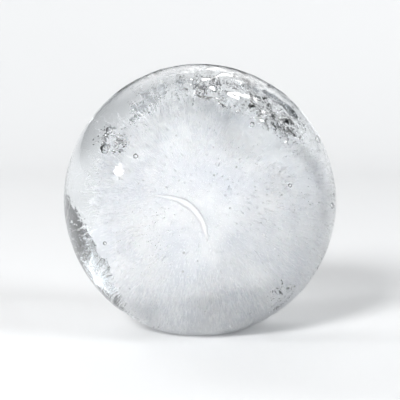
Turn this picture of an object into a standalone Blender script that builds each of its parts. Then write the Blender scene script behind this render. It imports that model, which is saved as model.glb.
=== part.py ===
"""An ice ball: one piece of ice frozen in a round mould, standing on its own small flat spot.

It froze from the outside in, so its outside is clear and its heart is white with trapped air. The two are
modelled as two solids. The white heart fills a pocket in the clear ice, and reaches the outside only at the
flat spot, where the last of the water froze.

Metres, +Z up. The origin is the middle of the flat spot, +X is to the right and -Y faces the viewer.
"""

import math

import bmesh
import bpy
from mathutils import Vector, noise

MM = 0.001

# Driving dimensions
BALL_RADIUS = 30.0 * MM
FLAT_SPOT_RADIUS = 8.0 * MM
SHOULDER_WIDTH = 2.0 * MM  # melting has rounded the corner round the flat spot over this width
SHOULDER_CURVE = 1.45  # 1 is a straight slope, and 2 leaves the flat spot most gently
SHOULDER_RINGS = 3

# Worked out from them: a whole ball would cross the flat spot's plane a quarter of the way up the shoulder
CENTRE_HEIGHT = math.sqrt(BALL_RADIUS**2 - (FLAT_SPOT_RADIUS + SHOULDER_WIDTH / 4.0) ** 2)
SHOULDER_RADIUS = FLAT_SPOT_RADIUS + SHOULDER_WIDTH
SHOULDER_HEIGHT = CENTRE_HEIGHT - math.sqrt(BALL_RADIUS**2 - SHOULDER_RADIUS**2)

# Melting leaves broad swells on the ball, and smaller ripples between them
SWELL_HEIGHT, SWELL_WIDTH = 0.22 * MM, 26.0 * MM
RIPPLE_HEIGHT, RIPPLE_WIDTH = 0.07 * MM, 9.0 * MM
CALM_HEIGHT = 10.0 * MM  # the swells fade out below this, so that the flat spot stays round

# Where the surface is broken or dented: direction from the ball's centre, radius and depth.
# A chip has a crisp rim. A dent is where a neighbour froze against the ball, and has a soft one.
CHIPS = (
    ((0.50, -0.50, 0.71), 5.2 * MM, 0.75 * MM),
    ((0.36, -0.50, 0.79), 3.6 * MM, 0.60 * MM),
    ((0.62, -0.42, 0.66), 3.0 * MM, 0.60 * MM),
    ((0.56, -0.42, -0.71), 2.6 * MM, 0.50 * MM),
    ((0.63, -0.44, -0.64), 1.9 * MM, 0.45 * MM),
    ((-0.60, 0.62, 0.50), 4.2 * MM, 0.65 * MM),
    ((-0.48, 0.74, 0.46), 2.8 * MM, 0.50 * MM),
)
DENTS = (
    ((-0.78, 0.58, -0.22), 9.0 * MM, 0.45 * MM),
    ((0.76, 0.62, 0.18), 8.0 * MM, 0.40 * MM),
    ((0.52, -0.84, -0.10), 9.5 * MM, 0.25 * MM),
    ((-0.42, -0.88, 0.20), 7.0 * MM, 0.18 * MM),
    ((-0.25, 0.55, 0.80), 7.0 * MM, 0.30 * MM),
)

# The cloudy heart lies a little low and to the right, and runs down in a funnel to a foot in the flat spot.
# The ice froze clear deepest at its hollows: direction from the heart's centre, width on a sphere of radius 1
# and depth. Its lumps: lumps to a radius and height.
HEART_RADIUS = 19.0 * MM
HEART_CENTRE = Vector((1.5 * MM, 0.0, CENTRE_HEIGHT - 3.6 * MM))
HEART_HOLLOWS = (
    ((0.48, -0.22, 0.85), 0.55, 3.9 * MM),
    ((0.88, -0.25, 0.42), 0.35, 2.1 * MM),
    ((-0.78, -0.35, 0.52), 0.28, 3.0 * MM),
    ((-0.95, -0.15, -0.25), 0.42, 3.0 * MM),
    ((0.15, 0.80, 0.58), 0.55, 4.2 * MM),
    ((-0.55, 0.80, -0.25), 0.50, 3.6 * MM),
    ((0.75, 0.60, -0.30), 0.35, 3.0 * MM),
)
HEART_LUMPS = ((2.0, 1.8 * MM), (5.0, 0.8 * MM))
HEART_SEED = Vector((3.1, 0.4, 5.2))  # where in the noise pattern the lumps are read
FUNNEL_ANGLE = math.radians(145.0)  # from the top of the heart to where the funnel begins
FOOT_RADIUS = 4.5 * MM
HEART_GAP = 0.3 * MM  # between the heart and its pocket, to keep the two solids apart

# Mesh fineness
SPHERE_LEVEL = 5  # 5120 faces all over
CHIP_SPLITS = 2  # finer levels of faces under the chips
FINE_REACH = 1.2  # faces this many chip radii from a chip's middle are split
SHORTEST_RIM_EDGE = 0.6 * MM
HEART_SIDES = 28
HEART_RINGS = 14  # from the heart's top to its funnel
FUNNEL_RINGS = 3

CLEAR_COLOUR, CLEAR_ROUGHNESS = (0.86, 0.91, 0.95, 1.0), 0.08
CLOUDY_COLOUR, CLOUDY_ROUGHNESS = (0.90, 0.92, 0.94, 1.0), 0.6
ICE_IOR = 1.31


def clear_scene():
    for obj in list(bpy.data.objects):
        bpy.data.objects.remove(obj)


def ice_material(name, colour, roughness, clearness):
    material = bpy.data.materials.new(name)
    material.use_nodes = True
    shader = material.node_tree.nodes["Principled BSDF"]
    shader.inputs["Base Color"].default_value = colour
    shader.inputs["Roughness"].default_value = roughness
    shader.inputs["Metallic"].default_value = 0.0
    shader.inputs["IOR"].default_value = ICE_IOR
    shader.inputs["Transmission Weight"].default_value = clearness
    return material


def middle_on_sphere(direction):
    return Vector(direction).normalized() * BALL_RADIUS


def split_faces_near_chips(bm):
    """A finer level of faces under each chip, so that its rim stays crisp. The ball's centre is at 0."""
    near = set()
    for direction, radius, _ in CHIPS:
        middle = middle_on_sphere(direction)
        reach = radius * FINE_REACH
        near.update(f for f in bm.faces if (f.calc_center_median() - middle).length < reach)
    edges = list({edge for face in near for edge in face.edges})
    bmesh.ops.subdivide_edges(bm, edges=edges, cuts=1, use_grid_fill=True)
    bmesh.ops.triangulate(bm, faces=bm.faces[:])
    for vert in bm.verts:
        vert.co = vert.co.normalized() * BALL_RADIUS


def swell(point):
    """How far melting raises the surface at a point of the plain sphere."""
    broad = noise.noise(point / SWELL_WIDTH) * SWELL_HEIGHT
    fine = noise.noise(point / RIPPLE_WIDTH) * RIPPLE_HEIGHT
    height = point.z + CENTRE_HEIGHT
    calm = min(max(height / CALM_HEIGHT, 0.0), 1.0)
    return (broad + fine) * calm * calm


def chip_depth(point):
    """Depth of the deepest chip here: a shallow bowl with a crisp rim."""
    found = 0.0
    for direction, radius, depth in CHIPS:
        share = (point - middle_on_sphere(direction)).length / radius
        if share < 1.0:
            found = max(found, depth * (1.0 - share * share))
    return found


def dent_depth(point):
    """Depth of the dents here: soft hollows that fade into the ball."""
    found = 0.0
    for direction, radius, depth in DENTS:
        share = (point - middle_on_sphere(direction)).length / radius
        if share < 1.0:
            found += depth * (1.0 - share * share) ** 2
    return found


def shape_ball(bm):
    for vert in bm.verts:
        direction = vert.co.normalized()
        vert.co = direction * (BALL_RADIUS + swell(vert.co) - chip_depth(vert.co) - dent_depth(vert.co))


def cut_underside(bm):
    """Cuts the ball off level where the shoulder begins, and gives back the edges round the open cut."""
    cut = bmesh.ops.bisect_plane(
        bm,
        geom=bm.verts[:] + bm.edges[:] + bm.faces[:],
        dist=1e-7,
        plane_co=(0.0, 0.0, SHOULDER_HEIGHT),
        plane_no=(0.0, 0.0, -1.0),
        clear_outer=True,
    )
    rim = [item for item in cut["geom_cut"] if isinstance(item, bmesh.types.BMVert)]
    bmesh.ops.remove_doubles(bm, verts=rim, dist=SHORTEST_RIM_EDGE)
    return [edge for edge in bm.edges if edge.is_boundary]


def place_on_circle(verts, radius, height):
    """Spaces the points evenly round the ball's axis, in the order in which they already stand."""
    in_order = sorted(verts, key=lambda vert: math.atan2(vert.co.y, vert.co.x))
    first = math.atan2(in_order[0].co.y, in_order[0].co.x)
    for place, vert in enumerate(in_order):
        angle = first + place * math.tau / len(in_order)
        vert.co = (radius * math.cos(angle), radius * math.sin(angle), height)


def make_flat_rim(bm):
    """Draws the cut's rim in, ring by ring, down a rounded shoulder, and gives back the flat spot's rim."""
    ring = cut_underside(bm)
    for step in range(SHOULDER_RINGS):
        across = 1.0 - (step + 1) / SHOULDER_RINGS
        made = bmesh.ops.extrude_edge_only(bm, edges=ring)["geom"]
        ring = [item for item in made if isinstance(item, bmesh.types.BMEdge) and item.is_boundary]
        radius = FLAT_SPOT_RADIUS + SHOULDER_WIDTH * across
        place_on_circle({v for edge in ring for v in edge.verts}, radius, SHOULDER_HEIGHT * across**SHOULDER_CURVE)
    return ring


def heart_radius(direction):
    """The heart's radius in a direction from its centre."""
    radius = HEART_RADIUS
    for towards, width, depth in HEART_HOLLOWS:
        apart = (direction - Vector(towards).normalized()).length / width
        if apart < 1.0:
            radius -= depth * (1.0 - apart * apart) ** 1.5
    for number, height in HEART_LUMPS:
        radius += noise.noise(direction * number + HEART_SEED) * height
    return radius


def heart_point(down, turn, grown):
    """A point of the heart's rounded part, at an angle down from its top and a turn about its axis."""
    direction = Vector((math.sin(down) * math.cos(turn), math.sin(down) * math.sin(turn), math.cos(down)))
    return HEART_CENTRE + direction * (heart_radius(direction) + grown)


def funnel_point(fall, turn, grown):
    """A point of the funnel, from the rounded part at fall 0 to the foot's edge at fall 1."""
    start = heart_point(FUNNEL_ANGLE, turn, grown)
    foot = Vector((math.cos(turn), math.sin(turn), 0.0)) * (FOOT_RADIUS + grown)
    narrowing = 1.0 - (1.0 - fall) ** 2
    middle = start.lerp(foot, narrowing)
    middle.z = start.z * (1.0 - fall)
    return middle


def add_heart_surface(bm, grown=0.0):
    """The heart's surface, open at the foot, whose edges it gives back. The pocket is the same, but grown."""
    turns = [side * math.tau / HEART_SIDES for side in range(HEART_SIDES)]
    rings = []
    for step in range(1, HEART_RINGS + 1):
        down = FUNNEL_ANGLE * step / HEART_RINGS
        rings.append([bm.verts.new(heart_point(down, turn, grown)) for turn in turns])
    for step in range(1, FUNNEL_RINGS + 1):
        fall = step / FUNNEL_RINGS
        rings.append([bm.verts.new(funnel_point(fall, turn, grown)) for turn in turns])
    top = bm.verts.new(heart_point(0.0, 0.0, grown))
    for side in range(HEART_SIDES):
        after = (side + 1) % HEART_SIDES
        bm.faces.new((top, rings[0][side], rings[0][after]))
        for upper, lower in zip(rings, rings[1:]):
            bm.faces.new((upper[side], lower[side], lower[after], upper[after]))
    return [bm.edges.get((rings[-1][side], rings[-1][side - 1])) for side in range(HEART_SIDES)]


def make_ice_ball():
    bm = bmesh.new()
    bmesh.ops.create_icosphere(bm, subdivisions=SPHERE_LEVEL, radius=BALL_RADIUS)
    for _ in range(CHIP_SPLITS):
        split_faces_near_chips(bm)
    shape_ball(bm)
    bmesh.ops.translate(bm, verts=bm.verts[:], vec=(0.0, 0.0, CENTRE_HEIGHT))
    flat_rim = make_flat_rim(bm)
    pocket_rim = add_heart_surface(bm, grown=HEART_GAP)
    bmesh.ops.triangle_fill(bm, edges=flat_rim + pocket_rim, use_beauty=True, normal=(0.0, 0.0, -1.0))
    return object_from("ice_ball", bm, ice_material("clear_ice", CLEAR_COLOUR, CLEAR_ROUGHNESS, 1.0))


def make_cloudy_heart():
    bm = bmesh.new()
    foot_rim = add_heart_surface(bm)
    bmesh.ops.contextual_create(bm, geom=foot_rim)
    return object_from("cloudy_heart", bm, ice_material("cloudy_ice", CLOUDY_COLOUR, CLOUDY_ROUGHNESS, 0.0))


def object_from(name, bm, material):
    """Closes the mesh work: faces point outwards, and only real edges look sharp."""
    bmesh.ops.triangulate(bm, faces=[face for face in bm.faces if len(face.verts) == 4])
    bmesh.ops.recalc_face_normals(bm, faces=bm.faces[:])
    mesh = bpy.data.meshes.new(name)
    bm.to_mesh(mesh)
    bm.free()
    mesh.shade_smooth()
    mesh.set_sharp_from_angle(angle=math.radians(28.0))
    mesh.materials.append(material)
    made = bpy.data.objects.new(name, mesh)
    bpy.context.scene.collection.objects.link(made)
    return made


def main():
    clear_scene()
    make_ice_ball()
    make_cloudy_heart()


main()
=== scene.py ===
# %% [markdown]
# # An ice ball
# This lesson dresses two finished solids, a ball of clear ice 60 mm across and the white heart inside it,
# until they look like real ice. Water in a round mould freezes from the outside in. The first ice is
# clear, and it pushes the dissolved air ahead of it. The last water to freeze keeps all that air as
# bubbles too small to see one by one, so the middle of the ball is white. Between the clear ice and the
# heart lie larger bubbles, needles of air that point outwards, and cracks. The heart and the small bubbles
# are pieces of their own, and the large bubbles and open cracks are hollows in the ice.

# %% Load the solids
import math

import bmesh
import bpy
from mathutils import Matrix, Vector, noise
from mathutils.bvhtree import BVHTree


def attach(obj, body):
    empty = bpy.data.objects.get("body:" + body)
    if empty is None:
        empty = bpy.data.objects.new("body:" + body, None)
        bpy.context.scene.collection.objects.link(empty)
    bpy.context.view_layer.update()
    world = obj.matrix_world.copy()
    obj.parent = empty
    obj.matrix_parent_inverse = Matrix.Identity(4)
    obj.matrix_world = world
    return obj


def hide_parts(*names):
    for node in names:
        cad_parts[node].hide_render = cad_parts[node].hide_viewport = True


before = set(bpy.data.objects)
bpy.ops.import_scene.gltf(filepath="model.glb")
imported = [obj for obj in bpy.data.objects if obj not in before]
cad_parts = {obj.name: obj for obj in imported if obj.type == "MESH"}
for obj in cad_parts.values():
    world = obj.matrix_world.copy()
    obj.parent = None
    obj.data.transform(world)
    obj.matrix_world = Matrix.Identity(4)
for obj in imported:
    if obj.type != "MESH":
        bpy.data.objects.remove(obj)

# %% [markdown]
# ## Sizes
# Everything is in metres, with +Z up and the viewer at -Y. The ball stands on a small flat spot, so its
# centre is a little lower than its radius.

MM = 0.001


def add_object(name, data):
    made = bpy.data.objects.new(name, data)
    bpy.context.scene.collection.objects.link(made)
    return made


BALL_RADIUS = 30.0 * MM
PLANE_CUT_RADIUS = 8.5 * MM  # where a whole ball would cross the flat spot's plane
CENTRE = Vector((0.0, 0.0, math.sqrt(BALL_RADIUS**2 - PLANE_CUT_RADIUS**2)))
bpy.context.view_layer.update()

# %% [markdown]
# ## The camera
# The camera comes first, because later cells place cracks by how they look from it. It looks along +Y and
# slightly down, as the photograph does. A long lens keeps the ball round at the edge of its disc.

# %% Camera
CAMERA_ELEVATION = math.radians(5.0)
CAMERA_LENS = 135.0
BALL_SHARE = 0.68  # the ball's share of the picture's height


def make_camera():
    data = bpy.data.cameras.new("camera")
    data.lens = CAMERA_LENS
    camera = add_object("camera", data)
    back = Vector((0.0, -math.cos(CAMERA_ELEVATION), math.sin(CAMERA_ELEVATION)))
    distance = 2.0 * BALL_RADIUS / BALL_SHARE * CAMERA_LENS / data.sensor_width
    camera.location = CENTRE + back * distance
    camera.rotation_euler = back.to_track_quat("Z", "Y").to_euler()
    bpy.context.scene.camera = camera
    print("camera", round(distance, 3), "m from the ball's centre")


make_camera()

# %% [markdown]
# ## Finishing a piece
# Every piece ends as a plain mesh with one material. Its object sits at the origin and its place is in
# its mesh. It rides on the ball's only body.

# %% Piece helpers
def object_from(name, bm, material):
    """Turns a bmesh into a smooth object at the origin."""
    mesh = bpy.data.meshes.new(name)
    bm.to_mesh(mesh)
    bm.free()
    mesh.shade_smooth()
    mesh.materials.append(material)
    return add_object(name, mesh)


def join_rows(bm, rows, closed):
    """Makes faces between each row of points and the next. Closed rows are rings."""
    for first, second in zip(rows, rows[1:]):
        for corner in range(len(first) if closed else len(first) - 1):
            after = (corner + 1) % len(first)
            bm.faces.new((first[corner], first[after], second[after], second[corner]))


def finish_piece(piece):
    """Says what the piece rides on, and prints its size."""
    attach(piece, "root")
    print(piece.name, sum(len(face.vertices) - 2 for face in piece.data.polygons), "triangles")
    return piece


# %% [markdown]
# ## Unevenness for every finish
# Nothing that melts or freezes is the same all over. One small node group gives each material below its
# own slow variation: a noise pattern, read in the ball's own space and squeezed between two values. The
# helpers before it wire nodes together, here and in every later tree.

# %% Node helpers
def link(source, output, target, socket):
    source.id_data.links.new(source.outputs[output], target.inputs[socket])


def feed(socket, value):
    """Gives a socket a link or a plain value."""
    if isinstance(value, bpy.types.NodeSocket):
        socket.id_data.links.new(value, socket)
    elif value is not None:
        socket.default_value = value


def set_inputs(node, values):
    for label, value in values.items():
        feed(node.inputs[label], value)


def maths(tree, operation, first, second=None):
    node = tree.nodes.new("ShaderNodeMath")
    node.operation = operation
    feed(node.inputs[0], first)
    feed(node.inputs[1], second)
    return node.outputs["Value"]


def vectors(tree, operation, first, second=None, scale=None):
    node = tree.nodes.new("ShaderNodeVectorMath")
    node.operation = operation
    feed(node.inputs[0], first)
    feed(node.inputs[1], second)
    feed(node.inputs[3], scale)
    return node.outputs["Value" if operation in ("LENGTH", "DOT_PRODUCT") else "Vector"]


def new_material(name):
    material = bpy.data.materials.new(name)
    material.use_nodes = True
    return material, material.node_tree, material.node_tree.nodes["Principled BSDF"]


def new_map_range(tree, from_low, from_high, to_low=0.0, to_high=1.0, interpolation="LINEAR"):
    node = tree.nodes.new("ShaderNodeMapRange")
    node.interpolation_type = interpolation
    set_inputs(node, {"From Min": from_low, "From Max": from_high, "To Min": to_low, "To Max": to_high})
    return node


# %% Uneven group
PATTERN_LOW, PATTERN_HIGH = 0.35, 0.65  # most of a noise pattern lies between these
PATTERN_DETAIL = 3.0


def make_uneven_group():
    group = bpy.data.node_groups.new("uneven", "ShaderNodeTree")
    for label, value in (("Size", 10.0 * MM), ("Detail", PATTERN_DETAIL), ("Low", 0.0), ("High", 1.0)):
        socket = group.interface.new_socket(label, in_out="INPUT", socket_type="NodeSocketFloat")
        socket.default_value = value
    group.interface.new_socket("Value", in_out="OUTPUT", socket_type="NodeSocketFloat")
    given, result = group.nodes.new("NodeGroupInput"), group.nodes.new("NodeGroupOutput")
    place = group.nodes.new("ShaderNodeTexCoord")
    pattern = group.nodes.new("ShaderNodeTexNoise")
    feed(pattern.inputs["Scale"], maths(group, "DIVIDE", 1.0, given.outputs["Size"]))
    spread = new_map_range(group, PATTERN_LOW, PATTERN_HIGH)
    for row in (
        (given, "Detail", pattern, "Detail"), (place, "Object", pattern, "Vector"),
        (pattern, "Fac", spread, "Value"), (given, "Low", spread, "To Min"),
        (given, "High", spread, "To Max"), (spread, "Result", result, "Value"),
    ):
        link(*row)
    return group


UNEVEN = make_uneven_group()


def uneven(tree, size, low, high, detail=PATTERN_DETAIL):
    """Places the group in a material, and gives back its Value."""
    node = tree.nodes.new("ShaderNodeGroup")
    node.node_tree = UNEVEN
    set_inputs(node, {"Size": size, "Detail": detail, "Low": low, "High": high})
    return node.outputs["Value"]


# %% [markdown]
# ## Clear ice
# Clear ice is a plain glass material with ice's own index of refraction, 1.31. A weak absorption inside
# makes long paths through it faintly blue, as in a glacier. The melting skin is wet, so it is as smooth as
# a mirror, with the fine ripples of melt water as a low bump. Only in the chips, and in the cracks inside,
# is the ice dull: there the material reads an attribute, broken, that the mesh gives each of its points.

# %% Clear ice material
ICE_IOR = 1.31
ICE_TINT, ABSORPTION = (0.70, 0.87, 1.0, 1.0), 3.0  # absorption per metre, of what the tint lacks
FROST_WIDTH, FROST_LEAST, FROST_MOST = 1.5 * MM, 0.05, 0.25  # of the roughness where the ice is broken
WET_WIDTH, WET_HEIGHT, WET_STRENGTH = 3.0 * MM, 0.1 * MM, 0.3  # of the bump for melt water


def make_clear_ice_material():
    material, tree, shader = new_material("clear_ice")
    broken = tree.nodes.new("ShaderNodeAttribute")
    broken.attribute_name = "broken"
    frost = uneven(tree, FROST_WIDTH, FROST_LEAST, FROST_MOST)
    ripples = tree.nodes.new("ShaderNodeBump")
    set_inputs(ripples, {"Strength": WET_STRENGTH, "Distance": WET_HEIGHT,
                         "Height": uneven(tree, WET_WIDTH, 0.0, 1.0)})
    set_inputs(shader, {
        "Base Color": (1.0, 1.0, 1.0, 1.0), "IOR": ICE_IOR, "Transmission Weight": 1.0,
        "Roughness": maths(tree, "MULTIPLY", broken.outputs["Fac"], frost), "Normal": ripples.outputs[0],
    })
    inside = tree.nodes.new("ShaderNodeVolumeAbsorption")
    set_inputs(inside, {"Color": ICE_TINT, "Density": ABSORPTION})
    link(inside, "Volume", tree.nodes["Material Output"], "Volume")
    return material


clear_ice = make_clear_ice_material()

# %% [markdown]
# ## The melted surface
# The solid has the ball's true shape in 2 mm facets. Through glass every facet would show, so the surface
# is made again from the same rule on faces a quarter as wide, a hair inside the solid: broad swells and
# smaller ripples from melting, shallow chips with crisp rims, and soft dents where it lay and melted. The
# fine mesh has room for two things that the solid leaves out: fine melt ripples, and the shell-like steps
# that a blow leaves in the floor of a chip.

# %% Surface rule
SKIN = 0.03 * MM  # how far the fine surface stays inside the solid
SWELL_HEIGHT, SWELL_WIDTH = 0.22 * MM, 26.0 * MM
RIPPLE_HEIGHT, RIPPLE_WIDTH = 0.07 * MM, 9.0 * MM
MELT_HEIGHT, MELT_WIDTH = 0.025 * MM, 3.5 * MM
CALM_HEIGHT = 10.0 * MM
CHIPS = (  # direction from the ball's centre, radius, depth
    ((0.50, -0.50, 0.71), 5.2 * MM, 0.75 * MM),
    ((0.36, -0.50, 0.79), 3.6 * MM, 0.60 * MM),
    ((0.62, -0.42, 0.66), 3.0 * MM, 0.60 * MM),
    ((0.56, -0.42, -0.71), 2.6 * MM, 0.50 * MM),
    ((0.63, -0.44, -0.64), 1.9 * MM, 0.45 * MM),
    ((-0.60, 0.62, 0.50), 4.2 * MM, 0.65 * MM),
    ((-0.48, 0.74, 0.46), 2.8 * MM, 0.50 * MM),
)
DENTS = (  # the same three values
    ((-0.78, 0.58, -0.22), 9.0 * MM, 0.45 * MM),
    ((0.76, 0.62, 0.18), 8.0 * MM, 0.40 * MM),
    ((0.52, -0.84, -0.10), 9.5 * MM, 0.25 * MM),
    ((-0.42, -0.88, 0.20), 7.0 * MM, 0.18 * MM),
    ((-0.25, 0.55, 0.80), 7.0 * MM, 0.30 * MM),
)
SHELL_STEP, SHELL_WIDTH = 0.035 * MM, 1.1 * MM


def share_of(point, direction, radius):
    """How far the point is from the middle of a chip or dent, as a share of its radius."""
    return (point - Vector(direction).normalized() * BALL_RADIUS).length / radius


def chip_depth(point):
    found = 0.0
    for direction, radius, depth in CHIPS:
        share = share_of(point, direction, radius)
        if share < 1.0:
            steps = math.sin(share * radius / SHELL_WIDTH * math.tau) * SHELL_STEP * share
            found = max(found, depth * (1.0 - share * share) + steps * (1.0 - share))
    return found


def dent_depth(point):
    shares = [(share_of(point, direction, radius), depth) for direction, radius, depth in DENTS]
    return sum(depth * (1.0 - share * share) ** 2 for share, depth in shares if share < 1.0)


def surface_radius(point):
    """The ball's radius in the direction of a point of a plain sphere about 0."""
    swell = noise.noise(point / SWELL_WIDTH) * SWELL_HEIGHT
    swell += noise.noise(point / RIPPLE_WIDTH) * RIPPLE_HEIGHT
    swell += (noise.noise(point / MELT_WIDTH) - 1.0) * MELT_HEIGHT
    calm = min(max((point.z + CENTRE.z) / CALM_HEIGHT, 0.0), 1.0) ** 2
    return BALL_RADIUS - SKIN + swell * calm - chip_depth(point) - dent_depth(point)


# %% [markdown]
# The underside is drawn in to the flat spot. Points below the floor come up to it, and within a narrow
# band the corner is rounded by a parabola that meets both the flat and the ball.

# %% Clear ball
SPHERE_LEVEL = 7
FULLY_DULL_DEPTH = 0.25 * MM
SHOULDER = 0.3 * MM


def above_floor(height):
    """Height over the floor, with the corner between flat spot and ball rounded."""
    if height >= SHOULDER:
        return height
    return max(height + SHOULDER, 0.0) ** 2 / (4.0 * SHOULDER)


def make_clear_ball():
    bm = bmesh.new()
    bmesh.ops.create_icosphere(bm, subdivisions=SPHERE_LEVEL, radius=BALL_RADIUS)
    broken = bm.verts.layers.float.new("broken")
    for vert in bm.verts:
        vert[broken] = min(chip_depth(vert.co) / FULLY_DULL_DEPTH, 1.0)
        vert.co = vert.co.normalized() * surface_radius(vert.co) + CENTRE
        vert.co.z = above_floor(vert.co.z)
    return object_from("clear_ball", bm, clear_ice)


def furthest_from_solids(piece, step=7):
    """How far the piece's surface strays from the nearest solid, over a sample of its points."""
    trees = []
    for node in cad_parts.values():
        places, faces = [v.co for v in node.data.vertices], [p.vertices for p in node.data.polygons]
        trees.append(BVHTree.FromPolygons(places, faces))
    sample = [vert.co for vert in list(piece.data.vertices)[::step]]
    return max(min(tree.find_nearest(place)[3] for tree in trees) for place in sample)


clear_ball = make_clear_ball()
print("furthest from the solids", round(furthest_from_solids(clear_ball) / MM, 3), "mm")

# %% [markdown]
# Large bubbles and open cracks are holes in the clear ice. They could be separate pieces with a silvery
# finish, but then they look like foil. Real air in ice shines because its wall turns light back, and glass
# does that by itself when the hole is really there. A hole is a second closed surface inside the first,
# and its faces look into the hole, because a face always looks out of the ice. So a closed mesh becomes a
# hole by joining the ball's mesh with its faces turned round.

# %% Hollows
def hollow_out(ball, hollow, dullness):
    """Makes a closed mesh a hole in the ice. Its wall is as dull as dullness says."""
    bm = bmesh.new()
    bm.from_mesh(ball.data)
    first = len(bm.faces)
    bm.from_mesh(hollow.data)
    added = list(bm.faces)[first:]
    bmesh.ops.reverse_faces(bm, faces=added)
    broken = bm.verts.layers.float["broken"]
    for vert in {vert for face in added for vert in face.verts}:
        vert[broken] = dullness
    bm.to_mesh(ball.data)
    bm.free()
    bpy.data.objects.remove(hollow)


# %% [markdown]
# ## The cloudy heart
# The heart is a mass of air bubbles far smaller than a grain of salt. Modelled one by one they would never
# end, so their mass is one white lump, with light let in below its surface so that it glows as cloud does.
# It lies a little low and to the right in the ball, because ice grew faster from the top and left, and it
# runs down in a funnel to the flat spot, where the last water froze. Clear hollows are pressed into it.
# The solid has these forms too, so the rule is the same here, with finer lumps and far smaller faces. On
# the lower right, the heart's colour is painted a little greyer as painted shade.

# %% Cloud material
CLOUD_PATCH, CLOUD_DETAIL = 7.0 * MM, 5.0
CLOUD_ROUGHNESS, CLOUD_GLOSS = 0.6, 0.1
GLOW_REACH = 10.0 * MM  # how far light travels below the surface
HEART_RADIUS = 19.0 * MM
HEART_CENTRE = CENTRE + Vector((1.5 * MM, 0.0, -3.6 * MM))
# The next lines set where shade is painted into the heart's colour, on its lower right side.
SHADE_SIDE = Vector((0.88, -0.20, -0.46)).normalized()  # from the heart's centre
SHADE_START, SHADE_FULL = 5.0 * MM, 10.0 * MM  # how far out on that side the grey begins and is full
SHADE_SHARE = 0.90


def painted_side_shade(tree):
    """1 on most of the heart, and less on the lower right side, where shade is painted into the colour."""
    place = tree.nodes.new("ShaderNodeTexCoord").outputs["Object"]
    middle = HEART_CENTRE.dot(SHADE_SIDE)
    fade = new_map_range(tree, middle + SHADE_START, middle + SHADE_FULL, 1.0, SHADE_SHARE, "SMOOTHSTEP")
    feed(fade.inputs["Value"], vectors(tree, "DOT_PRODUCT", place, SHADE_SIDE))
    return fade.outputs["Result"]


def make_cloud_material(name, dull, bright, glow):
    """White ice between a dull and a bright tone. A glow of 1 lets light in below the surface."""
    material, tree, shader = new_material(name)
    shade = tree.nodes.new("ShaderNodeMix")
    shade.data_type = "RGBA"
    patches = uneven(tree, CLOUD_PATCH, 0.0, 1.0, CLOUD_DETAIL)
    set_inputs(shade, {"Factor": patches, "A": (*dull, 1.0), "B": (*bright, 1.0)})
    # The colour is darkened towards the lower right as painted shade.
    side_shaded = vectors(tree, "SCALE", shade.outputs["Result"], scale=painted_side_shade(tree))
    set_inputs(shader, {
        "Base Color": side_shaded, "Roughness": CLOUD_ROUGHNESS, "Specular IOR Level": CLOUD_GLOSS,
        "Subsurface Weight": glow, "Subsurface Radius": (1.0, 1.0, 1.0), "Subsurface Scale": GLOW_REACH,
    })
    return material


# %% Heart rule
HEART_HOLLOWS = (  # direction from the heart's centre, width on a sphere of radius 1, depth
    ((0.48, -0.22, 0.85), 0.55, 3.9 * MM),
    ((0.88, -0.25, 0.42), 0.35, 2.1 * MM),
    ((-0.78, -0.35, 0.52), 0.28, 3.0 * MM),
    ((-0.95, -0.15, -0.25), 0.42, 3.0 * MM),
    ((0.15, 0.80, 0.58), 0.55, 4.2 * MM),
    ((-0.55, 0.80, -0.25), 0.50, 3.6 * MM),
    ((0.75, 0.60, -0.30), 0.35, 3.0 * MM),
)
HEART_LUMPS = ((2.0, 1.8 * MM), (5.0, 0.8 * MM))  # lumps to a radius, height
FROST_LUMPS = ((12.0, 0.42 * MM), (30.0, 0.15 * MM))  # finer ones, which the solid leaves out
HEART_SEED = Vector((3.1, 0.4, 5.2))
FUNNEL_ANGLE = math.radians(145.0)
FOOT_RADIUS, FOOT_HEIGHT = 4.5 * MM, 0.15 * MM


def hollow_depths(direction):
    """How deep each hollow is in a direction from the heart's centre."""
    depths = []
    for towards, width, depth in HEART_HOLLOWS:
        share = (direction - Vector(towards).normalized()).length / width
        depths.append(depth * max(1.0 - share * share, 0.0) ** 1.5)
    return depths


def heart_radius(direction):
    radius = HEART_RADIUS - sum(hollow_depths(direction))
    for number, height in HEART_LUMPS + FROST_LUMPS:
        radius += noise.noise(direction * number + HEART_SEED) * height
    return radius


def heart_point(down, turn):
    """A point of the heart's rounded part, at an angle down from its top and a turn about its axis."""
    out = math.sin(down)
    direction = Vector((out * math.cos(turn), out * math.sin(turn), math.cos(down)))
    return HEART_CENTRE + direction * heart_radius(direction)


def funnel_point(fall, turn):
    """A point of the funnel, from the rounded part at fall 0 to the foot's edge at fall 1."""
    start = heart_point(FUNNEL_ANGLE, turn)
    foot = Vector((math.cos(turn), math.sin(turn), 0.0)) * FOOT_RADIUS
    middle = start.lerp(foot, 1.0 - (1.0 - fall) ** 2)
    middle.z = FOOT_HEIGHT + (start.z - FOOT_HEIGHT) * (1.0 - fall)
    return middle


# %% [markdown]
# In a hollow of the heart, and at the left, the ice froze slowly and stayed clear, so few bubbles grow
# there. The mesh keeps that as an attribute, bubbly: 1 on the open heart and low where the ice is clear.

# %% Cloudy heart
HEART_DULL, HEART_BRIGHT = (0.80, 0.813, 0.838), (0.912, 0.915, 0.918)
HEART_SIDES, HEART_RINGS, FUNNEL_RINGS = 256, 120, 24
BARE_DEPTH = 2.0 * MM  # of a hollow that has the fewest bubbles
FEWEST_BUBBLES = 0.12
CLEAR_SIDE, CLEAR_SIDE_WIDTH = Vector((-0.90, 0.25, -0.22)).normalized(), 0.75


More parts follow.
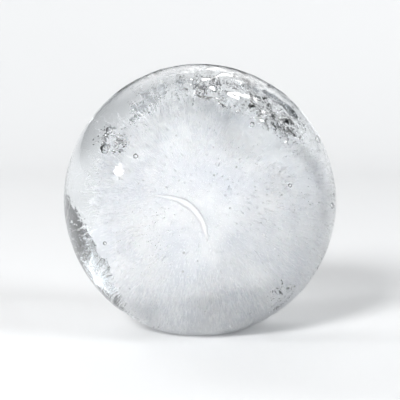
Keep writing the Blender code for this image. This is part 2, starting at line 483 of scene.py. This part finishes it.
def make_cloudy_heart():
    bm = bmesh.new()
    bubbly = bm.verts.layers.float.new("bubbly")
    turns = [side * math.tau / HEART_SIDES for side in range(HEART_SIDES)]
    rings = []
    for step in range(1, HEART_RINGS + 1):
        down = FUNNEL_ANGLE * step / HEART_RINGS
        rings.append([bm.verts.new(heart_point(down, turn)) for turn in turns])
    for step in range(1, FUNNEL_RINGS + 1):
        rings.append([bm.verts.new(funnel_point(step / FUNNEL_RINGS, turn)) for turn in turns])
    top = bm.verts.new(heart_point(0.0, 0.0))
    foot = bm.verts.new((0.0, 0.0, FOOT_HEIGHT))
    for side in range(HEART_SIDES):
        after = (side + 1) % HEART_SIDES
        bm.faces.new((top, rings[0][side], rings[0][after]))
        bm.faces.new((foot, rings[-1][after], rings[-1][side]))
        for upper, lower in zip(rings, rings[1:]):
            bm.faces.new((upper[side], lower[side], lower[after], upper[after]))
    for vert in bm.verts:
        direction = (vert.co - HEART_CENTRE).normalized()
        in_hollow = 1.0 - max(hollow_depths(direction)) / BARE_DEPTH
        at_side = min((direction - CLEAR_SIDE).length / CLEAR_SIDE_WIDTH, 1.0) ** 2
        vert[bubbly] = max(in_hollow * at_side, FEWEST_BUBBLES)
    return object_from("cloudy_heart_ice", bm, make_cloud_material("cloud", HEART_DULL, HEART_BRIGHT, 1.0))


heart = make_cloudy_heart()
print("furthest from the solids", round(furthest_from_solids(heart) / MM, 3), "mm")
finish_piece(heart)
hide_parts("cloudy_heart")
heart_area = sum(face.area for face in heart.data.polygons)
print("heart area", round(heart_area / MM**2), "square mm")

# %% [markdown]
# ## Geometry Nodes helpers
# Thousands of bubbles, needles and flakes are the same few shapes again and again, which is what Geometry
# Nodes are for. These helpers build a tree, run it on a surface, and turn the result into a plain mesh.

# %% Tree helpers
NUMBER, COUNT = "NodeSocketFloat", "NodeSocketInt"


def new_tree(name, inputs):
    """A tree with a Geometry input and output, and these (name, socket type, value) inputs between."""
    tree = bpy.data.node_groups.new(name, "GeometryNodeTree")
    tree.interface.new_socket("Geometry", in_out="INPUT", socket_type="NodeSocketGeometry")
    for label, kind, value in inputs:
        tree.interface.new_socket(label, in_out="INPUT", socket_type=kind).default_value = value
    tree.interface.new_socket("Geometry", in_out="OUTPUT", socket_type="NodeSocketGeometry")
    return tree, tree.nodes.new("NodeGroupInput"), tree.nodes.new("NodeGroupOutput")


def attribute(tree, name):
    """What the mesh keeps under this name for each of its points."""
    node = tree.nodes.new("GeometryNodeInputNamedAttribute")
    node.data_type = "FLOAT"
    node.inputs["Name"].default_value = name
    return node.outputs[0]


# %% Random draws
AWAY_DRAW, WIDTH_DRAW, LENGTH_DRAW, BREADTH_DRAW, LEAN_DRAW = 11, 23, 37, 41, 53


def draw(tree, given, offset, low=0.0, high=1.0, kind="FLOAT"):
    """A random number or vector for each point. The offset keeps draws from the same seed apart."""
    node = tree.nodes.new("FunctionNodeRandomValue")
    node.data_type = kind
    wanted = "VECTOR" if kind == "FLOAT_VECTOR" else "VALUE"
    for label, value in (("Min", low), ("Max", high)):
        socket = next(s for s in node.inputs if s.name == label and s.type == wanted)
        socket.default_value = (value,) * 3 if kind == "FLOAT_VECTOR" else value
    feed(node.inputs["Seed"], maths(tree, "ADD", given.outputs["Seed"], offset))
    return next(s for s in node.outputs if s.type == wanted)


def draw_width(tree, given, crowding, smallest, largest):
    """A random half width between two. The more crowding, the more of them are near the smallest."""
    share = maths(tree, "POWER", draw(tree, given, WIDTH_DRAW), crowding)
    span = maths(tree, "SUBTRACT", largest, smallest)
    return maths(tree, "ADD", maths(tree, "MULTIPLY", share, span), smallest)


def draw_lean(tree, given, most):
    """A random vector that, added to a direction, makes it lean."""
    any_way = draw(tree, given, LEAN_DRAW, -1.0, 1.0, "FLOAT_VECTOR")
    return vectors(tree, "SCALE", any_way, scale=most)


# %% Beads
def set_beads(tree, points, sides, rings, size, direction):
    """Sets a bead on each point. Size is half its three widths, the last of them along the direction."""
    bead = tree.nodes.new("GeometryNodeMeshUVSphere")
    set_inputs(bead, {"Radius": 1.0, "Segments": sides, "Rings": rings})
    widths = tree.nodes.new("ShaderNodeCombineXYZ")
    set_inputs(widths, dict(zip("XYZ", size)))
    turned = tree.nodes.new("FunctionNodeAlignRotationToVector")
    turned.axis = "Z"
    feed(turned.inputs["Vector"], direction)
    place = tree.nodes.new("GeometryNodeInstanceOnPoints")
    set_inputs(place, {"Points": points.outputs["Geometry"], "Instance": bead.outputs["Mesh"],
                       "Scale": widths.outputs["Vector"], "Rotation": turned.outputs["Rotation"]})
    return place


def end_tree(tree, last, result, material, output="Instances"):
    """Makes what the last node gives real, smooth and painted, which is how each tree ends."""
    realize = tree.nodes.new("GeometryNodeRealizeInstances")
    smooth = tree.nodes.new("GeometryNodeSetShadeSmooth")
    paint = tree.nodes.new("GeometryNodeSetMaterial")
    paint.inputs["Material"].default_value = material
    link(last, output, realize, "Geometry")
    link(realize, "Geometry", smooth, "Geometry")
    link(smooth, "Geometry", paint, "Geometry")
    link(paint, "Geometry", result, "Geometry")
    return tree


# %% Running a tree
def run_tree(name, tree, source, thickness=0.0, **values):
    """Runs the tree on the source's surface and gives back what it made as a plain mesh."""
    grower = add_object(name + "_grower", source.data)
    modifier = grower.modifiers.new("grow", "NODES")
    modifier.node_group = tree
    for item in tree.interface.items_tree:
        if item.in_out == "INPUT" and item.name in values:
            modifier[item.identifier] = values[item.name]
    if thickness:
        solidify = grower.modifiers.new("thicken", "SOLIDIFY")
        solidify.thickness = thickness
        solidify.offset = 0.0
    evaluated = grower.evaluated_get(bpy.context.evaluated_depsgraph_get())
    mesh = bpy.data.meshes.new_from_object(evaluated)
    bpy.data.objects.remove(grower)
    mesh.name = name
    return add_object(name, mesh)


def grow(name, tree, source, **values):
    return finish_piece(run_tree(name, tree, source, **values))


# %% [markdown]
# ## Bubbles that grow outwards
# Air leaves the freezing water at the edge of the growing ice, so bubbles lie in lines that point away
# from the ball's centre, thick near the heart and thinner towards the clear skin. One tree makes them all.
# It scatters points on the heart, moves each one outwards by a random distance that is mostly short, and
# sets a small bead there, stretched along the way out. A stretch of 1 gives round bubbles, 16 gives spikes
# and 34 gives needles.

# %% Outward tree
CLEAR_SKIN = 0.91  # share of the ball's radius that no bubble's tip passes
BEAD_CROWDING = 2.5
SHORTEST_SHARE = 0.5  # of a bead's full length


def make_outward_tree(name, material):
    tree, given, result = new_tree(name, (
        ("Density", NUMBER, 1.0e6), ("Reach", NUMBER, 5.0 * MM), ("Thinning", NUMBER, 2.0),
        ("Thinnest", NUMBER, 0.05 * MM), ("Thickest", NUMBER, 0.2 * MM), ("Stretch", NUMBER, 1.0),
        ("Lean", NUMBER, 0.0), ("Sides", COUNT, 4), ("Rings", COUNT, 2), ("Seed", COUNT, 1),
    ))
    get = given.outputs
    position = tree.nodes.new("GeometryNodeInputPosition").outputs["Position"]
    from_centre = vectors(tree, "SUBTRACT", position, CENTRE)
    outwards = vectors(tree, "NORMALIZE", from_centre)

    scatter = tree.nodes.new("GeometryNodeDistributePointsOnFaces")
    for label, target in (("Geometry", "Mesh"), ("Seed", "Seed")):
        link(given, label, scatter, target)
    feed(scatter.inputs["Density"], maths(tree, "MULTIPLY", get["Density"], attribute(tree, "bubbly")))
    share = maths(tree, "POWER", draw(tree, given, AWAY_DRAW), get["Thinning"])
    away = maths(tree, "MULTIPLY", share, get["Reach"])
    move = tree.nodes.new("GeometryNodeSetPosition")
    link(scatter, "Points", move, "Geometry")
    feed(move.inputs["Offset"], vectors(tree, "SCALE", outwards, scale=away))

    width = draw_width(tree, given, BEAD_CROWDING, get["Thinnest"], get["Thickest"])
    full_length = maths(tree, "MULTIPLY", width, get["Stretch"])
    length = maths(tree, "MULTIPLY", full_length, draw(tree, given, LENGTH_DRAW, SHORTEST_SHARE))
    far_tip = maths(tree, "ADD", vectors(tree, "LENGTH", from_centre), length)
    trim = tree.nodes.new("GeometryNodeDeleteGeometry")
    link(move, "Geometry", trim, "Geometry")
    feed(trim.inputs["Selection"], maths(tree, "GREATER_THAN", far_tip, CLEAR_SKIN * BALL_RADIUS))

    direction = vectors(tree, "ADD", outwards, draw_lean(tree, given, get["Lean"]))
    size = (width, width, maths(tree, "MAXIMUM", length, width))
    place = set_beads(tree, trim, get["Sides"], get["Rings"], size, direction)
    return end_tree(tree, place, result, material)


# %% [markdown]
# ## What air in ice looks like
# The wall of a bubble turns back nearly all light that meets it at a slant, so air in ice looks silvery,
# and darker or brighter with what it mirrors. A hole in glass does this well where it is large, but
# thousands of small holes would take too long to trace. The smallest bubbles, spikes and needles blur
# together and look white, so they share the cloud's material without its glow. The single round bubbles
# between them get a soft silver whose tone varies from place to place.

# %% Air materials
POWDER_DULL, POWDER_BRIGHT = (0.93, 0.94, 0.96), (0.99, 0.99, 0.99)
TONE_PATCH, DULL_PATCH = 2.5 * MM, 1.5 * MM
SMOOTHEST = 0.12


def make_silver_material(name, darkest, brightest, dullest, mirror):
    """Silver between two tones, with roughness from SMOOTHEST to dullest. Mirror is how metallic it is."""
    material, tree, shader = new_material(name)
    shade = tree.nodes.new("ShaderNodeCombineColor")
    tone = uneven(tree, TONE_PATCH, darkest, brightest)
    set_inputs(shade, {"Red": tone, "Green": tone, "Blue": tone})
    set_inputs(shader, {"Base Color": shade.outputs["Color"], "Metallic": mirror,
                        "Roughness": uneven(tree, DULL_PATCH, SMOOTHEST, dullest)})
    return material


powder = make_cloud_material("air_powder", POWDER_DULL, POWDER_BRIGHT, 0.0)
silver = make_silver_material("air_silver", 0.86, 0.99, 0.40, 0.25)

# %% Bubbles, spikes and needles
round_tree = make_outward_tree("outward_powder", powder)
silver_tree = make_outward_tree("outward_silver", silver)


def per_area(number):
    return number / heart_area


grow("powder_bubbles", round_tree, heart, Density=per_area(20000), Reach=4.5 * MM, Thinning=2.5,
     Thinnest=0.05 * MM, Thickest=0.16 * MM, Seed=1)
grow("frost_spikes", round_tree, heart, Density=per_area(14000), Reach=2.2 * MM, Thinning=1.4,
     Thinnest=0.04 * MM, Thickest=0.16 * MM, Stretch=16.0, Lean=0.10, Seed=2)
grow("silver_bubbles", silver_tree, heart, Density=per_area(400), Reach=8.0 * MM, Thinning=1.2,
     Thinnest=0.05 * MM, Thickest=0.28 * MM, Sides=7, Rings=5, Seed=3)
grow("needle_bubbles", round_tree, heart, Density=per_area(8000), Reach=4.5 * MM, Thinning=1.3,
     Thinnest=0.02 * MM, Thickest=0.06 * MM, Stretch=34.0, Lean=0.06, Seed=4)

# %% [markdown]
# ## Where a thing inside the ball seems to be
# Light bends at the ball's surface, so a crack inside isn't where it seems. This function goes the other
# way. It takes a place on the ball's disc, as the camera sees it, follows the bent ray into the ice, and
# gives the point at the wanted depth. With an azimuth it does the same for someone at another side.

# %% Through the surface
SHALLOWEST = 0.05  # no crack comes nearer the skin than this, in ball radii


def inside_at(across, up, depth, azimuth=0.0):
    """The point inside the ball that is seen at (across, up), all in ball radii, depth from the centre."""
    seen = math.hypot(across, up)
    turn = math.asin(seen) - math.asin(seen / ICE_IOR)
    skin_depth = -math.sqrt(1.0 - seen * seen)
    travelled = max(depth - skin_depth, SHALLOWEST)
    shrink = 1.0 - travelled * math.tan(turn) / max(seen, 1e-6)
    place = Vector((across * shrink, skin_depth + travelled, up * shrink))
    place *= min((1.0 - SHALLOWEST) / place.length, 1.0)
    tilt = Matrix.Rotation(-CAMERA_ELEVATION, 3, "X")
    swing = Matrix.Rotation(math.radians(azimuth), 3, "Z")
    return CENTRE + swing @ tilt @ place * BALL_RADIUS


# %% [markdown]
# ## Cracks
# A crack in ice is a thin gap that has partly healed. What is left of it shows as wisps that mirror their
# surroundings, bright or dark, with flat bubbles like scales round them and clear ice between. First comes
# the whole sheet. It is laid out as a patch of the disc that the camera sees, between two angles and two
# distances from the middle, and each point keeps how near the edge it is.

# %% Crack sheets
BELLY = 0.05  # how far the middle of the inner edge sags towards the ball's middle
WAVES = ((2.5, 0.08), (7.0, 0.008), (20.0, 0.0012))  # waves across a sheet, height in ball radii
SHEET_ASPECT = 2.0  # a sheet is about twice as long as it is broad
SHEET_COLUMNS, SHEET_ROWS = 110, 50


def make_sheet(start, end, inner, outer, near_depth, far_depth, azimuth):
    """A curved patch, seen from the azimuth between two angles in degrees and two shares of the radius."""
    bm = bmesh.new()
    edge = bm.verts.layers.float.new("edge")
    rows = []
    for row in range(SHEET_ROWS + 1):
        out = row / SHEET_ROWS
        ring = []
        for column in range(SHEET_COLUMNS + 1):
            along = column / SHEET_COLUMNS
            angle = math.radians(start + (end - start) * along)
            belly = math.sin(along * math.pi)
            seen = inner + (outer - inner) * out - (1.0 - out) * belly * BELLY
            depth = near_depth + (far_depth - near_depth) * out
            for number, height in WAVES:
                place = Vector((along * number * SHEET_ASPECT, out * number, start))
                depth += noise.noise(place) * height
            across, up = math.cos(angle) * seen, math.sin(angle) * seen
            vert = bm.verts.new(inside_at(across, up, depth, azimuth))
            vert[edge] = 1.0 - (belly * math.sin(out * math.pi)) ** 0.5
            ring.append(vert)
        rows.append(ring)
    join_rows(bm, rows, False)
    return object_from("sheet", bm, clear_ice)


# %% [markdown]
# One tree makes the open part of the crack. A noise pattern, which loses ground towards the sheet's edge,
# decides where the crack is still open, and the rest of the sheet is cut away, which leaves wisps. A
# Solidify modifier after the tree makes them as thick as a real gap, and they become holes in the ice.

# %% Gap tree
HEALING = (("Wisp", NUMBER, 2.5 * MM), ("Healed", NUMBER, 0.45), ("Fray", NUMBER, 0.35), ("Seed", COUNT, 1))
HEAL_DETAIL, HEAL_ROUGHNESS = 3.0, 0.5


def healed_here(tree, given):
    """True where the crack has closed again: where a noise pattern, lowered near the edge, is low."""
    pattern = tree.nodes.new("ShaderNodeTexNoise")
    pattern.noise_dimensions = "4D"
    set_inputs(pattern, {
        "Detail": HEAL_DETAIL, "Roughness": HEAL_ROUGHNESS, "W": given.outputs["Seed"],
        "Scale": maths(tree, "DIVIDE", 1.0, given.outputs["Wisp"]),
    })
    at_edge = maths(tree, "POWER", attribute(tree, "edge"), 2.0)
    lowered = maths(tree, "MULTIPLY", at_edge, given.outputs["Fray"])
    left_open = maths(tree, "SUBTRACT", pattern.outputs[0], lowered)
    return maths(tree, "LESS_THAN", left_open, given.outputs["Healed"])


def make_gap_tree():
    tree, given, result = new_tree("gap", HEALING)
    heal = tree.nodes.new("GeometryNodeDeleteGeometry")
    heal.domain = "FACE"
    link(given, "Geometry", heal, "Geometry")
    feed(heal.inputs["Selection"], healed_here(tree, given))
    return end_tree(tree, heal, result, clear_ice, "Geometry")


# %% [markdown]
# A second tree strews flat bubbles, like scales, over the same sheet. They are the beads again, pressed
# flat and each tipped its own way, and they fill in where the crack has half closed. They come in two
# silvers: a pale one, and a dark one whose darkness is painted shade and a painted dark reflection, for
# the scales that turn away from the light, such as those along the lower edge of the clear pocket at the
# upper right.

# %% Flake tree
FLAKE_CROWDING = 2.0
SLIMMEST_FLAKE = 0.4  # its breadth, as a share of its width
FLAKE_SIDES, FLAKE_RINGS = 6, 3


def make_flake_tree(name, material):
    tree, given, result = new_tree(name, (
        ("Density", NUMBER, 1.0e6), ("Smallest", NUMBER, 0.1 * MM), ("Largest", NUMBER, 0.5 * MM),
        ("Flatness", NUMBER, 0.12), ("Tip", NUMBER, 0.3),
    ) + HEALING)
    get = given.outputs
    scatter = tree.nodes.new("GeometryNodeDistributePointsOnFaces")
    for label, target in (("Geometry", "Mesh"), ("Density", "Density"), ("Seed", "Seed")):
        link(given, label, scatter, target)
    heal = tree.nodes.new("GeometryNodeDeleteGeometry")
    link(scatter, "Points", heal, "Geometry")
    feed(heal.inputs["Selection"], healed_here(tree, given))

    width = draw_width(tree, given, FLAKE_CROWDING, get["Smallest"], get["Largest"])
    breadth = maths(tree, "MULTIPLY", width, draw(tree, given, BREADTH_DRAW, SLIMMEST_FLAKE))
    size = (width, breadth, maths(tree, "MULTIPLY", width, get["Flatness"]))
    direction = vectors(tree, "ADD", scatter.outputs["Normal"], draw_lean(tree, given, get["Tip"]))
    place = set_beads(tree, heal, FLAKE_SIDES, FLAKE_RINGS, size, direction)
    return end_tree(tree, place, result, material)


# %% Cracks
GAP_THICKNESS = 0.05 * MM
GAP_DULLNESS = 0.3
SMALLEST_FLAKE, LARGEST_FLAKE = 0.06 * MM, 0.30 * MM
FLAKES_BEYOND_GAP = 0.12  # flakes also lie where the gap is shut: their healed share is lower by this
FIRST_CRACK_SEED = 60
pale_scales = make_silver_material("pale_scales", 0.15, 0.70, 0.45, 0.50)
# The dark silver's low tone is painted shade and a painted dark reflection.
painted_shade_scales = make_silver_material("painted_shade_scales", 0.03, 0.30, 0.45, 0.35)
gap_tree = make_gap_tree()
FLAKE_TREES = {"pale": make_flake_tree("pale_flakes", pale_scales),
               "dark": make_flake_tree("painted_shade_flakes", painted_shade_scales)}
# Rows whose tone is dark take the silver with painted shade.
CRACKS = {
    # name: (start, end, inner, outer, near depth, far depth, azimuth, flakes, their tone, healed share)
    "upper_right": (100, 28, 0.70, 0.96, -0.42, -0.10, 0, 1200, "pale", 0.42),
    "pocket_band": (66, 34, 0.74, 0.88, -0.50, -0.30, 0, 900, "dark", 0.44),
    "pocket_corner": (94, 80, 0.76, 0.90, -0.46, -0.25, 0, 300, "dark", 0.44),
    "upper_left": (153, 138, 0.66, 0.88, -0.50, -0.25, 0, 300, "dark", 0.48),
    "left_edge": (182, 216, 0.84, 0.97, -0.30, 0.00, 0, 700, "dark", 0.62),
    "lower_right": (-40, -58, 0.83, 0.94, -0.44, -0.26, 0, 120, "pale", 0.55),
    "right_side": (100, 40, 0.70, 0.95, -0.42, -0.10, 90, 500, "pale", 0.44),
    "back_top": (125, 60, 0.70, 0.95, -0.42, -0.10, 180, 500, "pale", 0.44),
    "left_side": (170, 115, 0.70, 0.95, -0.40, -0.05, 270, 500, "pale", 0.44),
}
for seed, (name, (*patch, flakes, tone, healed)) in enumerate(CRACKS.items(), FIRST_CRACK_SEED):
    sheet = make_sheet(*patch)
    area = sum(face.area for face in sheet.data.polygons)
    gap = run_tree("gap", gap_tree, sheet, thickness=GAP_THICKNESS, Healed=healed, Seed=seed)
    hollow_out(clear_ball, gap, GAP_DULLNESS)
    grow("flakes_" + name, FLAKE_TREES[tone], sheet, Density=flakes / area, Smallest=SMALLEST_FLAKE,
         Largest=LARGEST_FLAKE, Healed=healed - FLAKES_BEYOND_GAP, Seed=seed)
    bpy.data.objects.remove(sheet)

# %% [markdown]
# ## Bright crack lines
# Where a narrow crack is full of fine bubbles and faces the light, it is a bright curved line. Each one
# here is a white blade: a diamond cross-section carried along a smooth arc, which starts and ends at two
# places on the disc and bends towards a third, turned a little up towards the light, uneven in width, and
# drawn to a point at both ends.

# %% Blades
BRIGHT_LINES = (  # azimuth, start, bend and end on the disc, depth, width
    (0, (-0.31, 0.03), (0.02, 0.02), (0.05, -0.28), -0.90, 1.8 * MM),
    (0, (0.56, -0.60), (0.66, -0.68), (0.60, -0.74), -0.42, 0.35 * MM),
    (95, (-0.30, 0.35), (0.05, 0.30), (0.20, -0.05), -0.76, 0.45 * MM),
    (185, (0.35, -0.25), (0.10, -0.05), (-0.30, -0.10), -0.76, 0.5 * MM),
    (270, (-0.25, -0.30), (-0.05, 0.05), (0.30, 0.15), -0.76, 0.45 * MM),
)
BLADE_STEPS = 28
BLADE_THICKNESS = 0.25  # of its width
BLADE_LIFT = 0.55  # how far its broad side turns up, towards the light
BLADE_SWAY = 0.03  # how far it sways in depth, in ball radii
BLADE_MEAN, BLADE_UNEVEN = 0.8, 0.3  # its mean width and how far that varies, as shares of its width
UNEVEN_LENGTH = 1.2 * MM  # the length that it varies over


def add_blade(bm, azimuth, start, bend, end, depth, width):
    points = []
    for step in range(BLADE_STEPS + 1):
        t = step / BLADE_STEPS
        shares = (1 - t) ** 2, 2 * t * (1 - t), t * t
        across, up = (sum(s * x for s, x in zip(shares, three)) for three in zip(start, bend, end))
        points.append(inside_at(across, up, depth + BLADE_SWAY * math.sin(t * math.tau), azimuth))
    rings = []
    for step in range(1, BLADE_STEPS):
        along = (points[step + 1] - points[step - 1]).normalized()
        inwards = (CENTRE - points[step]).normalized()
        facing = (Vector((0.0, 0.0, BLADE_LIFT)) - inwards).normalized()
        side = along.cross(facing).normalized()
        taper = math.sin(step / BLADE_STEPS * math.pi) ** 0.5
        taper *= BLADE_MEAN + BLADE_UNEVEN * noise.noise(points[step] / UNEVEN_LENGTH)
        half = side * (width * 0.5 * taper)
        deep = facing * (width * 0.5 * taper * BLADE_THICKNESS)
        rings.append([bm.verts.new(points[step] + offset) for offset in (half, deep, -half, -deep)])
    tips = bm.verts.new(points[0]), bm.verts.new(points[-1])
    join_rows(bm, rings, True)
    for tip, ring in zip(tips, (rings[0], rings[-1])):
        for corner in range(4):
            bm.faces.new((tip, ring[corner], ring[(corner + 1) % 4]))


def make_bright_lines():
    bm = bmesh.new()
    for row in BRIGHT_LINES:
        add_blade(bm, *row)
    bmesh.ops.recalc_face_normals(bm, faces=bm.faces[:])
    return object_from("bright_crack_lines", bm, powder)


finish_piece(make_bright_lines())

# %% [markdown]
# ## Large bubbles
# A few bubbles grew large enough to see one by one. Each is a round drop of air, drawn out along the way
# it grew and dented by noise, because a growing bubble is never quite even. They are holes in the clear
# ice, as the cracks are. These are the last holes, so the clear ball is finished here.

# %% Large bubbles
LARGE_BUBBLES = (  # azimuth, place on the disc, depth, radius
    (0, (-0.66, 0.36), -0.55, 1.0 * MM),
    (0, (-0.44, 0.30), -0.76, 0.5 * MM),
    (0, (0.36, 0.52), -0.66, 0.55 * MM),
    (0, (0.62, 0.10), -0.66, 0.4 * MM),
    (0, (-0.66, -0.30), -0.60, 0.4 * MM),
    (70, (0.20, 0.35), -0.78, 0.9 * MM),
    (110, (-0.40, -0.10), -0.76, 0.6 * MM),
    (160, (0.30, 0.30), -0.76, 0.8 * MM),
    (215, (-0.10, 0.15), -0.80, 0.7 * MM),
    (250, (0.45, -0.20), -0.72, 0.6 * MM),
    (300, (0.05, 0.45), -0.76, 0.8 * MM),
)
BUBBLE_LENGTH = 1.35  # along the way out, against its width
BUBBLE_DENT, DENTS_TO_RADIUS = 0.22, 1.3


def make_large_bubbles():
    bm = bmesh.new()
    for azimuth, (across, up), depth, radius in LARGE_BUBBLES:
        middle = inside_at(across, up, depth, azimuth)
        outwards = (middle - CENTRE).normalized()
        made = bmesh.ops.create_icosphere(bm, subdivisions=4, radius=1.0)
        for vert in made["verts"]:
            dent = noise.noise(vert.co * DENTS_TO_RADIUS + middle / MM)
            shape = vert.co * (1.0 + BUBBLE_DENT * dent)
            shape += outwards * shape.dot(outwards) * (BUBBLE_LENGTH - 1.0)
            vert.co = middle + shape * radius
    return object_from("large_bubbles", bm, clear_ice)


hollow_out(clear_ball, make_large_bubbles(), 0.0)
finish_piece(clear_ball)
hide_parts("ice_ball")

# %% [markdown]
# ## The stage
# A pale paper floor bends up into a wall all the way round, so that every view has the same calm
# background. The wall is low, so that the ball's rim shows the dark above it and stands out from the pale
# paper. The floor lies a hair under the flat spot, because two surfaces in one place would flicker.

# %% Stage
FLOOR_GAP = 0.05 * MM
FLOOR_RADIUS, WALL_RADIUS, WALL_BEND = 0.5, 0.5, math.radians(52.0)
STAGE_RINGS, STAGE_TURNS = 20, 96
PAPER_TONE, PAPER_ROUGHNESS = (0.64, 0.645, 0.65), 0.7


def make_matte_material(name, tone, roughness):
    material, _, shader = new_material(name)
    set_inputs(shader, {"Base Color": (*tone, 1.0), "Roughness": roughness})
    return material


def make_stage():
    bm = bmesh.new()
    profile = [(0.0, 0.0), (FLOOR_RADIUS / 2.0, 0.0)]
    for step in range(STAGE_RINGS + 1):
        angle = WALL_BEND * step / STAGE_RINGS
        out = FLOOR_RADIUS + WALL_RADIUS * math.sin(angle)
        profile.append((out, WALL_RADIUS * (1.0 - math.cos(angle))))
    verts = [bm.verts.new((out, 0.0, up - FLOOR_GAP)) for out, up in profile]
    edges = [bm.edges.new(pair) for pair in zip(verts, verts[1:])]
    bmesh.ops.spin(bm, geom=verts + edges, cent=(0.0, 0.0, 0.0), axis=(0.0, 0.0, 1.0), angle=math.tau,
                   steps=STAGE_TURNS, use_merge=True, use_duplicate=False)
    bmesh.ops.remove_doubles(bm, verts=bm.verts[:], dist=0.01 * MM)
    bmesh.ops.recalc_face_normals(bm, faces=bm.faces[:])
    return object_from("stage", bm, make_matte_material("stage_paper", PAPER_TONE, PAPER_ROUGHNESS))


make_stage()

# %% [markdown]
# A clear rim takes its tone from what lies behind it, which on the left side of the ball is the paper at
# the right. A photographer darkens such a rim with a grey card outside the picture, and so does this
# scene. The card shows only through the ice: it is hidden from the camera and from mirror images, and it
# throws no shadow. Its lower edge rises towards the middle of the picture, which draws the dark part of
# the left rim as a crescent.

# %% Grey card
CARD_START, CARD_END = math.radians(18.0), math.radians(72.0)  # turns from straight behind to the right
CARD_RADIUS, CARD_HEIGHT, CARD_THICKNESS = 0.35, 0.13, 3.0 * MM
CARD_SLANT, CARD_SLANT_END = 0.075, math.radians(44.0)
CARD_TONE, CARD_ROUGHNESS = (0.13, 0.13, 0.13), 0.9
CARD_STEPS = 24


def make_card():
    bm = bmesh.new()
    rows = []
    for step in range(CARD_STEPS + 1):
        turn = CARD_START + (CARD_END - CARD_START) * step / CARD_STEPS
        away = Vector((math.sin(turn), math.cos(turn), 0.0))
        outer = CARD_RADIUS + CARD_THICKNESS
        foot = CARD_SLANT * max(CARD_SLANT_END - turn, 0.0) / (CARD_SLANT_END - CARD_START)
        corners = ((CARD_RADIUS, foot), (outer, foot), (outer, CARD_HEIGHT), (CARD_RADIUS, CARD_HEIGHT))
        rows.append([bm.verts.new(away * out + Vector((0.0, 0.0, up))) for out, up in corners])
    join_rows(bm, rows, True)
    bm.faces.new(rows[0])
    bm.faces.new(rows[-1])
    bmesh.ops.recalc_face_normals(bm, faces=bm.faces[:])
    card = object_from("grey_card", bm, make_matte_material("card_grey", CARD_TONE, CARD_ROUGHNESS))
    for sort in ("visible_camera", "visible_diffuse", "visible_glossy", "visible_shadow"):
        setattr(card, sort, False)
    return card


make_card()

# %% [markdown]
# ## The light
# A clear ball shows nothing of its own. It shows what is around it, bent and turned over, so the
# surroundings are part of its look. Overhead there is soft light, and between it and the pale wall runs a
# dark band: the ball turns that band into the dark accents that make ice read as ice. A soft glow high
# behind the ball brightens the top of its rim.

# %% World
SKY_STRENGTH = 0.38
BAND_TONE, SKY_TONE = (0.05, 0.05, 0.055, 1.0), (1.0, 1.0, 1.0, 1.0)
BAND_TOP, SKY_BOTTOM = 0.72, 0.84  # sines of the elevations where the band ends and the sky is full
GLOW_MIDDLE = Vector((0.0, 0.80, 0.60))
GLOW_EDGE, GLOW_CORE = math.cos(math.radians(22.0)), math.cos(math.radians(8.0))
GLOW_BREADTH = 1.5
GLOW_STRENGTH = 5.0  # against the sky


def make_world():
    world = bpy.data.worlds.new("studio")
    bpy.context.scene.world = world
    world.use_nodes = True
    tree = world.node_tree
    background = tree.nodes["Background"]
    place = tree.nodes.new("ShaderNodeTexCoord")
    split = tree.nodes.new("ShaderNodeSeparateXYZ")
    ramp = tree.nodes.new("ShaderNodeValToRGB")
    low, high = ramp.color_ramp.elements
    low.position, low.color = BAND_TOP, BAND_TONE
    high.position, high.color = SKY_BOTTOM, SKY_TONE
    link(place, "Generated", split, "Vector")
    link(split, "Z", ramp, "Fac")

    narrower = Vector((1.0 / GLOW_BREADTH, 1.0, 1.0))
    narrowed = vectors(tree, "MULTIPLY", place.outputs["Generated"], narrower)
    towards = vectors(tree, "DOT_PRODUCT", vectors(tree, "NORMALIZE", narrowed), GLOW_MIDDLE)
    glow = new_map_range(tree, GLOW_EDGE, GLOW_CORE, 0.0, GLOW_STRENGTH, "SMOOTHSTEP")
    feed(glow.inputs["Value"], towards)
    both = vectors(tree, "ADD", ramp.outputs["Color"], glow.outputs["Result"])
    set_inputs(background, {"Color": both, "Strength": SKY_STRENGTH})


make_world()

# %% [markdown]
# The heart is lit by lamps, and only by light that the ball's surface bends in to it. The key is at the
# front left, a broad and slightly blue lamp at the front right opens the shadows, and a fill behind lights
# the back. Their mirror images would show as discs on the wet skin, so they are left out of reflections. A
# small lamp at the left makes the one crisp highlight.

# %% Lights
WHITE, PALE_BLUE = (1.0, 1.0, 1.0), (0.96, 0.985, 1.0)
LAMPS = (  # name, direction from the ball, distance, breadth, watts, colour, seen in reflections
    ("key", (-0.34, -0.84, 0.42), 2.4, 0.6, 89.0, WHITE, False),
    ("front", (0.70, -0.52, 0.49), 2.4, 1.2, 41.0, PALE_BLUE, False),
    ("fill", (-0.50, 0.70, 0.50), 2.4, 1.0, 18.0, WHITE, False),
    ("spark", (-0.883, -0.307, 0.355), 0.8, 0.11, 2.0, WHITE, True),
)


def add_lamp(name, direction, distance, breadth, watts, colour, mirrored):
    """A round lamp that faces the ball's centre. Without mirrored, the wet skin doesn't show it."""
    data = bpy.data.lights.new(name, "AREA")
    data.shape = "ELLIPSE"
    data.size = data.size_y = breadth
    data.energy = watts
    data.color = colour
    lamp = add_object(name, data)
    away = Vector(direction).normalized()
    lamp.location = CENTRE + away * distance
    lamp.rotation_euler = away.to_track_quat("Z", "Y").to_euler()
    lamp.visible_glossy = mirrored


for lamp_row in LAMPS:
    add_lamp(*lamp_row)

# %% [markdown]
# ## Colours in the picture
# The plain Standard view keeps white ice white, where the filmic default would grey it.

# %% View settings
bpy.context.scene.view_settings.view_transform = "Standard"
